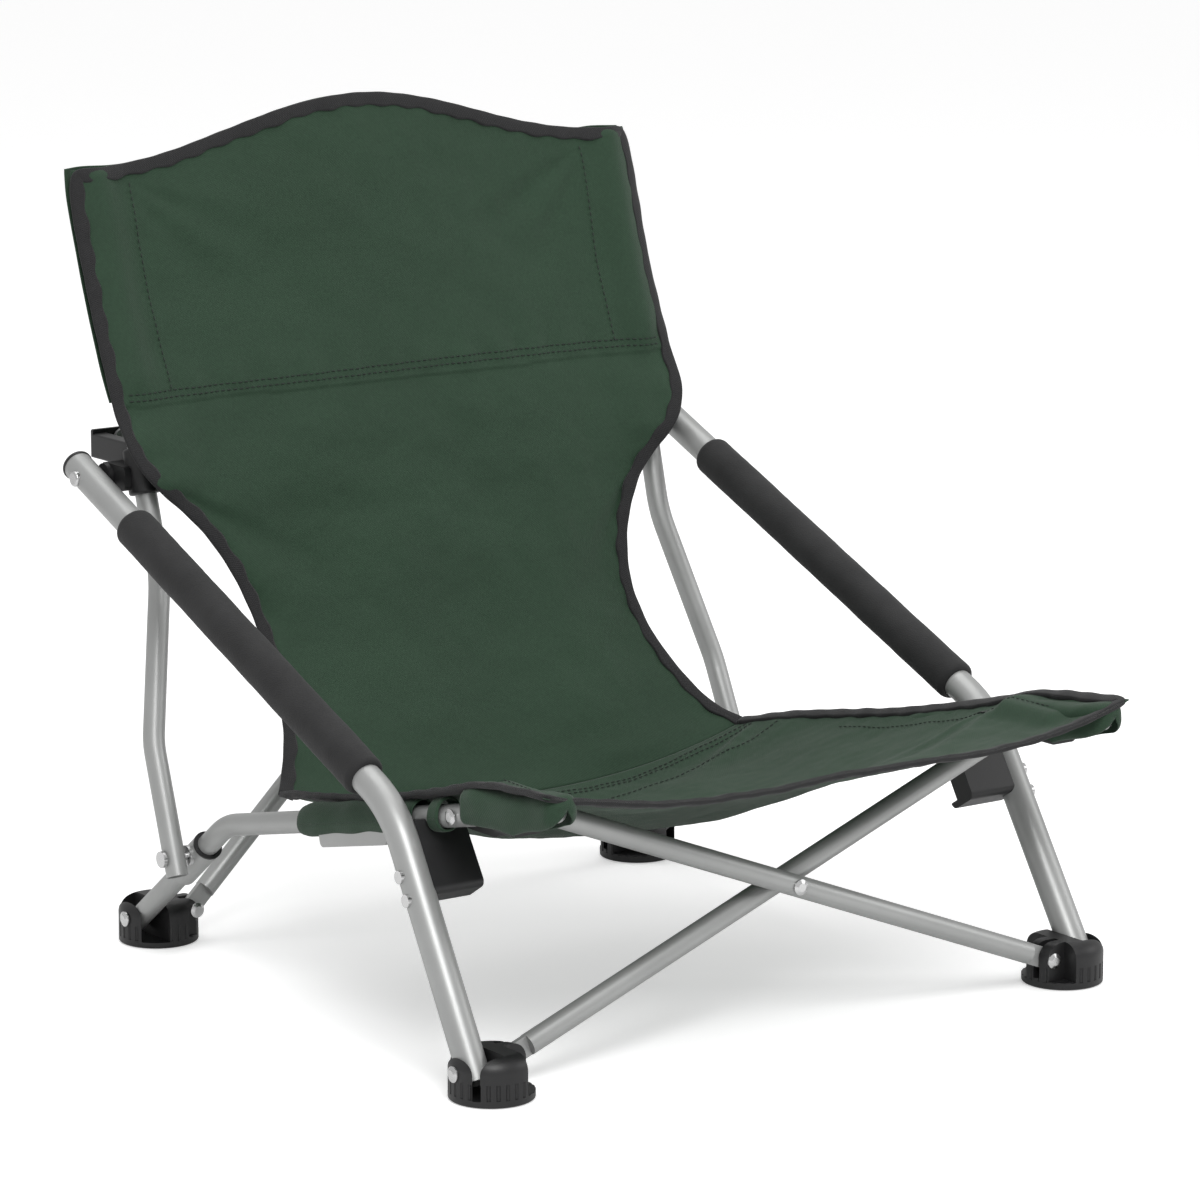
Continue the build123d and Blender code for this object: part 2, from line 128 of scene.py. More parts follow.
def powder(name, c, rough=(0.36, 0.46), metallic=0.35):
    m, nt, b = new_mat(name)
    oc = obj_coord(nt)
    n1 = noise_tex(nt, 14, 5, 0.6, oc)
    r = ramp(nt, n1.outputs["Fac"], tuple(x * 0.94 for x in c), tuple(min(1, x * 1.05) for x in c), 0.3, 0.7)
    link(nt, r.outputs[0], b.inputs["Base Color"])
    b.inputs["Metallic"].default_value = metallic
    n2 = noise_tex(nt, 1400, 3, 0.6, oc)
    n3 = noise_tex(nt, 60, 4, 0.6, oc)
    rr = nt.nodes.new("ShaderNodeMapRange")
    rr.inputs["To Min"].default_value, rr.inputs["To Max"].default_value = rough
    link(nt, n3.outputs["Fac"], rr.inputs["Value"])
    link(nt, rr.outputs[0], b.inputs["Roughness"])
    bp = bump(nt, n2.outputs["Fac"], 0.16, 0.0002)
    link(nt, bp.outputs[0], b.inputs["Normal"])
    b.inputs["Coat Weight"].default_value = 0.12
    b.inputs["Coat Roughness"].default_value = 0.3
    return m


def plastic(name, c, rough=0.42, grain=900):
    m, nt, b = new_mat(name)
    oc = obj_coord(nt)
    n1 = noise_tex(nt, grain, 3, 0.55, oc)
    n2 = noise_tex(nt, 25, 4, 0.6, oc)
    r = ramp(nt, n2.outputs["Fac"], tuple(x * 0.75 for x in c), tuple(x * 1.5 for x in c), 0.3, 0.75)
    link(nt, r.outputs[0], b.inputs["Base Color"])
    rr = nt.nodes.new("ShaderNodeMapRange")
    rr.inputs["To Min"].default_value, rr.inputs["To Max"].default_value = rough - 0.06, rough + 0.1
    link(nt, n2.outputs["Fac"], rr.inputs["Value"])
    link(nt, rr.outputs[0], b.inputs["Roughness"])
    bp = bump(nt, n1.outputs["Fac"], 0.25, 0.0002)
    link(nt, bp.outputs[0], b.inputs["Normal"])
    return m


def foam_mat(name):
    m, nt, b = new_mat(name)
    oc = obj_coord(nt)
    v = nt.nodes.new("ShaderNodeTexVoronoi")
    v.inputs["Scale"].default_value = 900
    link(nt, oc, v.inputs["Vector"])
    n2 = noise_tex(nt, 35, 5, 0.6, oc)
    r = ramp(nt, n2.outputs["Fac"], (0.006, 0.006, 0.0065), (0.014, 0.014, 0.0145), 0.3, 0.7)
    link(nt, r.outputs[0], b.inputs["Base Color"])
    b.inputs["Roughness"].default_value = 0.82
    b.inputs["Sheen Weight"].default_value = 0.05
    b.inputs["Sheen Roughness"].default_value = 0.5
    bp = bump(nt, v.outputs["Distance"], 0.5, 0.0003)
    bp2 = bump(nt, n2.outputs["Fac"], 0.2, 0.001, bp)
    link(nt, bp2.outputs[0], b.inputs["Normal"])
    return m


def weave_mat(name, dark, light, period=0.0011, rough=0.75, strength=0.55, sheen=0.10, twill=True, mottling=0.16):
    """Woven cloth from the piece's UVs, which are in metres along and across the cut."""
    m, nt, b = new_mat(name)
    uv = nt.nodes.new("ShaderNodeTexCoord").outputs["UV"]
    oc = obj_coord(nt)
    sep = nt.nodes.new("ShaderNodeSeparateXYZ")
    link(nt, uv, sep.inputs[0])
    k = 2 * math.pi / period
    sxn = math_node(nt, "SINE", math_node(nt, "MULTIPLY", sep.outputs[0], val=k).outputs[0])
    syn = math_node(nt, "SINE", math_node(nt, "MULTIPLY", sep.outputs[1], val=k).outputs[0])
    prod = math_node(nt, "MULTIPLY", sxn.outputs[0], syn.outputs[0])
    if twill:
        su = math_node(nt, "ADD", sep.outputs[0], sep.outputs[1])
        tw = math_node(nt, "SINE", math_node(nt, "MULTIPLY", su.outputs[0], val=k * 0.5).outputs[0])
        tw2 = math_node(nt, "MULTIPLY", tw.outputs[0], val=0.45)
        h = math_node(nt, "ADD", prod.outputs[0], tw2.outputs[0])
    else:
        h = prod
    h01 = nt.nodes.new("ShaderNodeMapRange")
    h01.inputs["From Min"].default_value, h01.inputs["From Max"].default_value = -1.4, 1.4
    link(nt, h.outputs[0], h01.inputs["Value"])
    n1 = noise_tex(nt, 9, 5, 0.62, oc)
    n2 = noise_tex(nt, 420, 2, 0.5, oc)
    mix = math_node(nt, "MULTIPLY", h01.outputs[0], val=0.5)
    nn = math_node(nt, "MULTIPLY", n2.outputs["Fac"], val=0.34)
    n1s = math_node(nt, "MULTIPLY", n1.outputs["Fac"], val=mottling * 2)
    s1 = math_node(nt, "ADD", mix.outputs[0], nn.outputs[0])
    s2 = math_node(nt, "ADD", s1.outputs[0], n1s.outputs[0])
    r = ramp(nt, s2.outputs[0], dark, light, 0.22, 0.92)
    link(nt, r.outputs[0], b.inputs["Base Color"])
    b.inputs["Roughness"].default_value = rough
    b.inputs["Specular IOR Level"].default_value = 0.3
    b.inputs["Sheen Weight"].default_value = sheen
    b.inputs["Sheen Roughness"].default_value = 0.45
    bp = bump(nt, h01.outputs[0], strength, period * 0.35)
    link(nt, bp.outputs[0], b.inputs["Normal"])
    return m


M_TUBE = powder("tube_silver_powder", (0.37, 0.375, 0.37), metallic=0.5)
M_BLACK = plastic("moulded_black", (0.008, 0.008, 0.0085))
M_STEEL = powder("rivet_steel", (0.62, 0.62, 0.62), (0.18, 0.3), 0.95)
M_FOAM = foam_mat("foam_black")
M_GREEN = weave_mat("cloth_green", (0.0090, 0.0240, 0.0120), (0.0240, 0.0590, 0.0310))
M_BIND = weave_mat("binding_black", (0.0035, 0.0035, 0.004), (0.020, 0.020, 0.021), period=0.0016, rough=0.7, strength=0.8, twill=False)
M_THREAD = plastic("thread_dark", (0.006, 0.012, 0.008), 0.6, 2500)


def paint(o, mat):
    if o.material_slots:
        for s in o.material_slots:
            s.material = mat
    else:
        o.data.materials.append(mat)


slot_of = {s["node"]: s["material_slot"] for s in frame["record"]["subparts"]}
for name, o in N.items():
    s = slot_of[name]
    paint(o, {"tube_aluminium": M_TUBE, "black_plastic": M_BLACK, "rivet_steel": M_STEEL, "foam": M_FOAM}.get(s, M_GREEN))


# ------------------------------------------------------------------ mesh helpers
def make(name, verts, faces, mat, uvs=None, smooth=True, body=None):
    me = bpy.data.meshes.new(name)
    me.from_pydata([tuple(v) for v in verts], [], [tuple(f) for f in faces])
    me.validate()
    if uvs is not None:
        layer = me.uv_layers.new(name="UVMap")
        for lp in me.loops:
            layer.data[lp.index].uv = uvs[lp.vertex_index]
    if smooth:
        for p in me.polygons:
            p.use_smooth = True
    me.materials.append(mat)
    o = bpy.data.objects.new(name, me)
    bpy.context.scene.collection.objects.link(o)
    if body:
        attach(o, body)
    return o


def curve_rows(ctrl, n):
    """Smooth interpolation of control rows by cumulative chord length (Catmull-Rom)."""
    P = np.array(ctrl, float)
    d = np.r_[0, np.cumsum(np.linalg.norm(np.diff(P, axis=0), axis=1) ** 0.5)]
    t = d / d[-1]
    out = np.zeros((n, P.shape[1]))
    m = np.zeros_like(P)
    for i in range(len(P)):
        a, b = max(i - 1, 0), min(i + 1, len(P) - 1)
        m[i] = (P[b] - P[a]) / (t[b] - t[a])
    for k, s in enumerate(np.linspace(0, 1, n)):
        i = min(np.searchsorted(t, s, side="right") - 1, len(P) - 2)
        h = t[i + 1] - t[i]
        q = (s - t[i]) / h
        h00, h10, h01, h11 = 2 * q**3 - 3 * q**2 + 1, q**3 - 2 * q**2 + q, -2 * q**3 + 3 * q**2, q**3 - q**2
        out[k] = h00 * P[i] + h10 * h * m[i] + h01 * P[i + 1] + h11 * h * m[i + 1]
    return out


def gauss(x, s):
    return math.exp(-(x / s) ** 2)


def sstep(a, b, x):
    t = min(1.0, max(0.0, (x - a) / (b - a)))
    return t * t * (3 - 2 * t)


# ------------------------------------------------------------------ back panel, mm in the working frame
# each row: edge x, y, z ; centre y, z
BACK = [
    (208, 101, 138, 88, 113), (192, 122, 149, 110, 138), (177, 143, 173, 132, 166), (168, 168, 201, 156, 196),
    (166, 192, 236, 180, 233), (176, 209, 276, 201, 277), (195, 220, 309, 217, 311), (213, 224, 328, 224, 330),
    (232, 229, 345, 231, 348), (245, 238, 365, 239, 370), (249, 248, 388, 248, 392), (249, 262, 412, 257, 414),
    (249, 288, 473, 283, 485), (250, 309, 540, 303, 560), (247, 317, 567, 316, 607)]
NU, NV = 150, 230
rows = curve_rows(BACK, NV)


def bell(u):
    return 0.5 * (1 + math.cos(math.pi * min(1.0, abs(u) / 0.90)))


def back_point(u, v):
    f = v * (NV - 1)
    i = min(int(f), NV - 2)
    r = rows[i] * (1 - (f - i)) + rows[i + 1] * (f - i)
    w, ye, ze, yc, zc = r
    up = sstep(0.60, 0.86, v)
    hl = 1 - abs(u) ** 2.3
    hz = hl * (1 - up) + bell(u) * up
    x = u * w
    y = ye + (yc - ye) * hl
    z = ze + (zc - ze) * hz
    return x, y, z


def vz(z):
    """Row parameter at which the edge reaches height z."""
    return float(np.interp(z, rows[:, 2], np.linspace(0, 1, NV)))


V_HEM = vz(409)


def upright_bump(x, z):
    """How far the cloth is pushed out over the upright inside the pocket."""
    a = abs(x)
    on = sstep(385, 425, z) * (1 - sstep(562, 582, z))
    return gauss(a - 228, 17.0) * on


def wrinkle_back(x, y, z, u, v):
    d = 0.0
    # broad vertical waves of the hanging cloth
    low = 1 - sstep(0.35, 0.62, v)
    d += 2.6 * low * math.sin(x / 26.0 + 0.9 * math.sin(z / 70.0) + 0.6) * (1 - abs(u) ** 4)
    d += 1.6 * math.sin(x / 47.0 + z / 90.0) * (0.35 + 0.65 * low)
    # pulls running in from the narrow waist, where the cloth turns round the frame
    for sx_, ang, z0, amp in ((-1, 0.95, 352, 4.2), (-1, 0.55, 352, 2.6), (1, 0.8, 352, 3.0), (1, 1.25, 352, 2.2), (-1, 1.35, 352, 2.6)):
        dx, dz = x - sx_ * 236, z - z0
        r = math.hypot(dx, dz)
        t = math.atan2(-dz, -sx_ * dx)
        d += amp * gauss(t - ang, 0.11) * sstep(12, 45, r) * (1 - sstep(90, 190, r))
    # pulls from the pocket corners on the upper panel
    for sx_, ang, amp in ((-1, 0.45, 1.8), (1, 0.5, 2.6), (1, 0.9, 1.4), (-1, 0.85, 1.3)):
        dx, dz = x - sx_ * 212, z - 560
        r = math.hypot(dx, dz)
        t = math.atan2(-dz, -sx_ * dx)
        d += amp * gauss(t - ang, 0.13) * sstep(10, 45, r) * (1 - sstep(80, 170, r))
    # puckers beside the sewn hem and the bound edge
    d += 0.9 * math.sin(x / 5.3 + 1.7 * noise.noise(Vector((x / 40, 0, 3)))) * gauss(v - V_HEM, 0.02)
    d += 0.8 * math.sin(z / 6.1 + x / 17) * sstep(0.90, 0.99, abs(u)) * (1 - sstep(0.99, 1.0, abs(u)))
    q = Vector((x / 70.0, y / 90.0, z / 70.0))
    d += 2.2 * noise.noise(q) + 1.0 * noise.noise(q * 2.7) + 0.35 * noise.noise(q * 7.0)
    # upper panel is pulled flatter, its centre softly dented
    d += -2.0 * gauss(x - 60, 60) * gauss(z - 470, 50) + 1.8 * gauss(x + 90, 50) * gauss(z - 500, 45)
    return 1.2 * d * (1 - 0.8 * gauss(abs(x) - 228, 16) * sstep(400, 430, z)) * (1 - 0.75 * sstep(0.93, 1.0, abs(u))) * sstep(0, 0.04, v)


def grid(fn, nu, nv, v0=0.0, v1=1.0):
    V = []
    for j in range(nv):
        v = v0 + (v1 - v0) * j / (nv - 1)
        for i in range(nu):
            V.append(fn(-1 + 2 * i / (nu - 1), v))
    F = [(j * nu + i, j * nu + i + 1, (j + 1) * nu + i + 1, (j + 1) * nu + i) for j in range(nv - 1) for i in range(nu - 1)]
    return V, F


def uv_lengths(V, nu, nv):
    A = np.array(V, float).reshape(nv, nu, 3)
    du = np.zeros((nv, nu)); dv = np.zeros((nv, nu))
    du[:, 1:] = np.cumsum(np.linalg.norm(np.diff(A, axis=1), axis=2), axis=1)
    du -= du[:, nu // 2:nu // 2 + 1]
    dv[1:, :] = np.cumsum(np.linalg.norm(np.diff(A, axis=0), axis=2), axis=0)
    return [(float(du[j, i]), float(dv[j, nu // 2])) for j in range(nv) for i in range(nu)]


def back_front(u, v):
    x, y, z = back_point(u, v)
    b = upright_bump(x, z)
    y2 = y - 10.6 * b - 5.0 * sstep(330, 350, z) * (1 - sstep(372, 400, z)) * sstep(180, 215, abs(x))
    y2 += wrinkle_back(x, y, z, u, v)
    if z > 400:
        y2 -= 1.2
    return W((x, y2, z))


V1, F = grid(back_front, NU, NV)
UV = uv_lengths(V1, NU, NV)
BACK_V = np.array([tuple(p) for p in V1]).reshape(NV, NU, 3)
back_panel = make("back_panel", V1, F, M_GREEN, UV, body="upright_left")
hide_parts("back_sling")


def back_rear(u, v):
    x, y, z = back_point(u, v)
    b = upright_bump(x, z)
    q = Vector((x / 60.0, 4.0, z / 60.0))
    y2 = y + 10.5 * b + 2.5 * (1 - abs(u) ** 6) + 1.2 + 1.3 * noise.noise(q) + 0.5 * noise.noise(q * 3)
    y2 = max(y2, y + wrinkle_back(x, y, z, u, v) + 1.4)
    return W((x, y2, z))


V2, F2 = grid(back_rear, 110, 90, V_HEM - 0.012, 1.0)
back_pocket = make("back_pocket", V2, F2, M_GREEN, uv_lengths(V2, 110, 90), body="upright_left")

# ------------------------------------------------------------------ seat panel
SEAT = [
    (208, 101, 138, 88, 113), (218, 62, 148, 52, 107), (228, 20, 156, 14, 108), (235, -40, 167, -44, 116),
    (240, -100, 181, -104, 131), (242, -150, 194, -154, 148), (244, -200, 208, -202, 166), (247, -245, 214, -247, 183),
    (250, -288, 217, -289, 198)]
SV = 180
srows = curve_rows(SEAT, SV)


def seat_point(u, v):
    f = v * (SV - 1)
    i = min(int(f), SV - 2)
    r = srows[i] * (1 - (f - i)) + srows[i + 1] * (f - i)
    w, ye, ze, yc, zc = r
    p = 2.2 + 2.6 * sstep(0.72, 1.0, v)
    h = 1 - abs(u) ** p
    return u * w, ye + (yc - ye) * h, ze + (zc - ze) * h


def seat_surf(u, v):
    x, y, z = seat_point(u, v)
    a = abs(x)
    d = 0.0
    mid = 1 - abs(u) ** 4
    d += 2.2 * math.sin(y / 34.0 + x / 120.0 + 0.8) * mid * (1 - sstep(0.75, 1, v))
    d += 1.8 * gauss(v, 0.10) * math.sin(x / 21.0 + 0.5 * math.sin(x / 50))
    for sx_, x0, y0, ang, amp in ((1, 242, -170, 0.4, 3.0), (1, 242, -170, -0.3, 2.4), (-1, 242, -170, 0.35, 3.0), (-1, 242, -150, -0.35, 2.4), (1, 215, 90, 0.5, 3.2), (-1, 215, 90, 0.6, 3.0), (1, 215, 90, 0.1, 2.0)):
        dx, dy = -sx_ * (x - sx_ * x0), y - y0
        r = math.hypot(dx, dy)
        d += amp * gauss(math.atan2(-dy, dx) - ang, 0.13) * sstep(10, 40, r) * (1 - sstep(80, 180, r))
    q = Vector((x / 60.0, y / 60.0, 9.0))
    d += 2.0 * noise.noise(q) + 0.9 * noise.noise(q * 2.6) + 0.35 * noise.noise(q * 7)
    d *= 1.25 * (1 - 0.75 * sstep(0.93, 1.0, abs(u))) * sstep(0, 0.04, v)
    z2 = z + d
    # rolls softly over the hidden corner joints and rails
    if y < -180:
        t = sstep(200, 216, a) * sstep(-184, -196, y) * (1 - sstep(-246, -262, y))
        z2 = max(z2, z2 * (1 - t) + max(z2, 206.5) * t)
    # front hem wave
    z2 += 1.6 * math.sin(x / 33.0 + 1.1) * sstep(0.88, 1.0, v)
    return W((x, y + 1.0 * math.sin(x / 41.0) * sstep(0.9, 1, v), z2))


SU = 150
V3, F3 = grid(seat_surf, SU, SV)
SEAT_V = np.array([tuple(p) for p in V3]).reshape(SV, SU, 3)
F3 = [tuple(reversed(f)) for f in F3]
seat_panel = make("seat_panel", V3, F3, M_GREEN, uv_lengths(V3, SU, SV), body="rail_left")
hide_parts("seat_sling")


# ------------------------------------------------------------------ bound edges
def resample(P, step):
    P = np.array(P, float)
    d = np.r_[0, np.cumsum(np.linalg.norm(np.diff(P, axis=0), axis=1))]
    n = max(3, int(d[-1] / step))
    s = np.linspace(0, d[-1], n)
    return np.stack([np.interp(s, d, P[:, k]) for k in range(3)], 1)


def smooth_line(P, it=3):
    P = P.copy()
    for _ in range(it):
        P[1:-1] = 0.25 * P[:-2] + 0.5 * P[1:-1] + 0.25 * P[2:]
    return P


def binding(name, edge, inner, mat, body, wide=0.0102, thick=0.0021, closed=False, seed=0.0):
    """Tape folded over a bound edge; edge and inner are matching lines, inner lying further into the cloth."""
    n = len(edge)
    ring = []
    prof = [(1.3, 0.0), (1.0, 0.62), (0.35, 0.92), (-3.0, 1.0), (-7.6, 1.0), (-8.9, 0.80), (-8.9, -0.80), (-7.6, -1.0), (-3.0, -1.0), (0.35, -0.92), (1.0, -0.62)]
    V, UVs = [], []
    run = 0.0
    for k in range(n):
        a, b = edge[max(k - 1, 0)], edge[min(k + 1, n - 1)]
        t = b - a; t /= np.linalg.norm(t) + 1e-12
        if k: run += np.linalg.norm(edge[k] - edge[k - 1])
        o = edge[k] - inner[k]
        o = o - t * (o @ t); o /= np.linalg.norm(o) + 1e-12
        nn = np.cross(t, o)
        wob = 1 + 0.10 * math.sin(run * 260 + seed) + 0.12 * noise.noise(Vector((run * 34, seed, 0)))
        lift = 0.0006 * noise.noise(Vector((run * 55, seed, 5)))
        for j, (p, q) in enumerate(prof):
            V.append(edge[k] + o * (p / 10.2 * wide * wob) + nn * (q * thick * 0.62 * wob + lift))
            UVs.append((run, j * 0.0024))
    m = len(prof)
    F = [(k * m + j, k * m + (j + 1) % m, (k + 1) * m + (j + 1) % m, (k + 1) * m + j) for k in range(n - 1) for j in range(m)]
    if not closed:
        F += [tuple(reversed(range(m))), tuple((n - 1) * m + j for j in range(m))]
    return make(name, V, F, mat, UVs, body=body)


def outline(A, order, inset):
    edge, inner = [], []
    for (j, i, jj, ii) in order:
        edge.append(A[j, i]); inner.append(A[jj, ii])
    return np.array(edge), np.array(inner)


def pair_resample(E, I, step, it=4):
    d = np.r_[0, np.cumsum(np.linalg.norm(np.diff(E, axis=0), axis=1))]
    n = int(d[-1] / step)
    s = np.linspace(0, d[-1], n)
    E2 = np.stack([np.interp(s, d, E[:, k]) for k in range(3)], 1)
    I2 = np.stack([np.interp(s, d, I[:, k]) for k in range(3)], 1)
    return smooth_line(E2, it), smooth_line(I2, it + 10)


K = 7
ordr = [(j, 0, j, K) for j in range(0, NV - 1)]
ordr += [(NV - 1, i, NV - 1 - K, min(max(i, K), NU - 1 - K)) for i in range(NU)]
ordr += [(j, NU - 1, j, NU - 1 - K) for j in range(NV - 2, -1, -1)]
E, I = outline(BACK_V, ordr, K)
E, I = pair_resample(E, I, 0.0035, 7)
back_binding = binding("back_binding", E, I, M_BIND, "upright_left", seed=1.3)

ordr = [(j, 0, j, K) for j in range(0, SV - 1)]
ordr += [(SV - 1, i, SV - 1 - K, min(max(i, K), SU - 1 - K)) for i in range(SU)]
ordr += [(j, SU - 1, j, SU - 1 - K) for j in range(SV - 2, -1, -1)]
E, I = outline(SEAT_V, ordr, K)
E, I = pair_resample(E, I, 0.0035, 6)
seat_binding = binding("seat_binding", E, I, M_BIND, "rail_left", thick=0.0038, seed=4.1)


# ------------------------------------------------------------------ stitching: short raised threads laid on the cloth
def stitches(name, lines, body, mat, length=0.0034, gap=0.0016, r=0.00042, nrm=Vector((0, -1, 0.2))):
    V, F = [], []
    for L in lines:
        L = np.array([tuple(p) for p in L])
        P = resample(L, length + gap)
        for k in range(len(P) - 1):
            t = Vector(P[k + 1] - P[k]).normalized()
            a, b = Vector(P[k]), Vector(P[k]) + t * length
            s = t.cross(nrm).normalized(); n2 = s.cross(t).normalized()
            if n2.dot(nrm) < 0: n2 = -n2
            base = len(V)
            for f, sc in ((0, 0.35), (0.22, 1.0), (0.78, 1.0), (1, 0.35)):
                c = a.lerp(b, f) + n2 * 0.0004
                for q in range(6):
                    an = q * math.pi / 3
                    V.append(c + s * (math.cos(an) * r * sc) + n2 * (math.sin(an) * r * sc))
            for g in range(3):
                for q in range(6):
                    F.append((base + g * 6 + q, base + g * 6 + (q + 1) % 6, base + g * 6 + 6 + (q + 1) % 6, base + g * 6 + 6 + q))
            F.append(tuple(base + 5 - q for q in range(6)))
            F.append(tuple(base + 18 + q for q in range(6)))
    return make(name, V, F, mat, None, body=body)


def surf_at(A, u, v, off):
    nv, nu = A.shape[:2]
    fu, fv = (u + 1) / 2 * (nu - 1), v * (nv - 1)
    i, j = min(int(fu), nu - 2), min(int(fv), nv - 2)
    a, b = fu - i, fv - j
    p = A[j, i] * (1 - a) * (1 - b) + A[j, i + 1] * a * (1 - b) + A[j + 1, i] * (1 - a) * b + A[j + 1, i + 1] * a * b
    return Vector(p) + off


OB = Vector((0, -0.0006, 0.0001))
lines = []
for dv in (0.0, 0.0105):
    lines.append([surf_at(BACK_V, u, V_HEM - dv + 0.002 * math.sin(u * 3), OB) for u in np.linspace(-0.955, 0.955, 240)])
for sx_ in (-1, 1):
    lines.append([surf_at(BACK_V, sx_ * (0.80 + 0.03 * (v - V_HEM)), v, OB) for v in np.linspace(V_HEM, 0.965, 90)])
back_stitching = stitches("back_stitching", lines, "upright_left", M_THREAD)
OS = Vector((0, 0, 0.0006))
lines = []
for v in (0.035, 0.050, 0.120):
    lines.append([surf_at(SEAT_V, u, v, OS) for u in np.linspace(-0.95, 0.95, 220)])
for sx_ in (-1, 1):
    lines.append([surf_at(SEAT_V, sx_ * 0.90, v, OS) for v in np.linspace(0.3, 0.97, 200)])
seat_stitching = stitches("seat_stitching", lines, "rail_left", M_THREAD, nrm=Vector((0, 0, 1)))


# ------------------------------------------------------------------ rail tunnels
def rail_z(y):
    return 142.5 - 0.222 * y


def hood(name, s, body, seed):
    """Sewn pocket over the corner joint and the rail nose, open underneath for the cross tube, closed in front."""
    n, m = 60, 44
    ks = (-291, -240, -193, -183)
    V, UVs = [], []
    for k in range(n + 1):
        f = k / n
        y = -183 - 108 * f
        end = math.sqrt(max(0.0, 1 - (max(0.0, f - 0.90) / 0.10) ** 2)) if f < 1 else 0.0
        end = max(end, 0.03)
        xc, zc = np.interp(y, ks, (235, 232, 232, 233)), np.interp(y, ks, (207, 194.5, 192, 190))
        hw, hh = np.interp(y, ks, (11.4, 14.8, 14.8, 13.6)), np.interp(y, ks, (11.0, 14.6, 14.4, 13.6))
        for q in range(m):
            a = math.radians(-52 + 284 * q / (m - 1))
            c, sn = math.cos(a), math.sin(a)
            g = 1 / (abs(c) ** 3 + abs(sn) ** 3) ** (1 / 3)
            w_ = 0.7 * noise.noise(Vector((c * 1.6 + seed, sn * 1.6, y / 16))) + 0.4 * math.sin(y / 6 + 2.0 * c + seed)
            px, pz = c * g * hw + w_ * c, sn * g * hh + w_ * sn
            V.append(W((s * (xc + px * end), y, zc + pz * end)))
            UVs.append((13 * a / 1000, y / 1000))
    F = [(k * m + q, k * m + q + 1, (k + 1) * m + q + 1, (k + 1) * m + q) for k in range(n) for q in range(m - 1)]
    if s < 0:
        F = [tuple(reversed(f)) for f in F]
    F = [tuple(reversed(f)) for f in F]
    o = make(name, V, F, M_GREEN, UVs, body=body)
    md = o.modifiers.new("thick", "SOLIDIFY"); md.thickness = 0.0007; md.offset = 0
    return o


def tunnel(name, s, y0, y1, body, seed):
    n, m = max(10, int(abs(y1 - y0) / 2.5)), 36
    V, UVs = [], []
    for k in range(n + 1):
        f = k / n
        y = y0 + (y1 - y0) * f
        end = 1 - 0.10 * gauss(f, 0.03) - 0.10 * gauss(1 - f, 0.03)
        for q in range(m):
            a = 2 * math.pi * q / m
            c, sn = math.cos(a), math.sin(a)
            r = 10.2 * end + 0.55 * noise.noise(Vector((c * 1.4 + seed, sn * 1.4, y / 18))) + 0.35 * math.sin(y / 7 + 2.2 * c + seed)
            r += 2.6 * max(0.0, sn) ** 2
            r = max(r, 8.8)
            V.append(W((s * (235 + r * c), y, rail_z(y) + r * sn)))
            UVs.append((r * a / 1000, y / 1000))
    F = [(k * m + q, k * m + (q + 1) % m, (k + 1) * m + (q + 1) % m, (k + 1) * m + q) for k in range(n) for q in range(m)]
    if s * (y1 - y0) < 0:
        F = [tuple(reversed(f)) for f in F]
    o = make(name, V, F, M_GREEN, UVs, body=body)
    md = o.modifiers.new("thick", "SOLIDIFY"); md.thickness = 0.0007; md.offset = -1
    return o


tunnels = []
for s, side in ((-1, "left"), (1, "right")):
    tunnels.append(tunnel(f"rail_tunnel_rear_{side}", s, 22, -122, f"rail_{side}", 1.0 + s))
    tunnels.append(tunnel(f"rail_tunnel_loop_{side}", s, -141, -154, f"rail_{side}", 5.0 + s))
    tunnels.append(hood(f"rail_tunnel_front_{side}", s, f"corner_{side}", 9.0 + s))

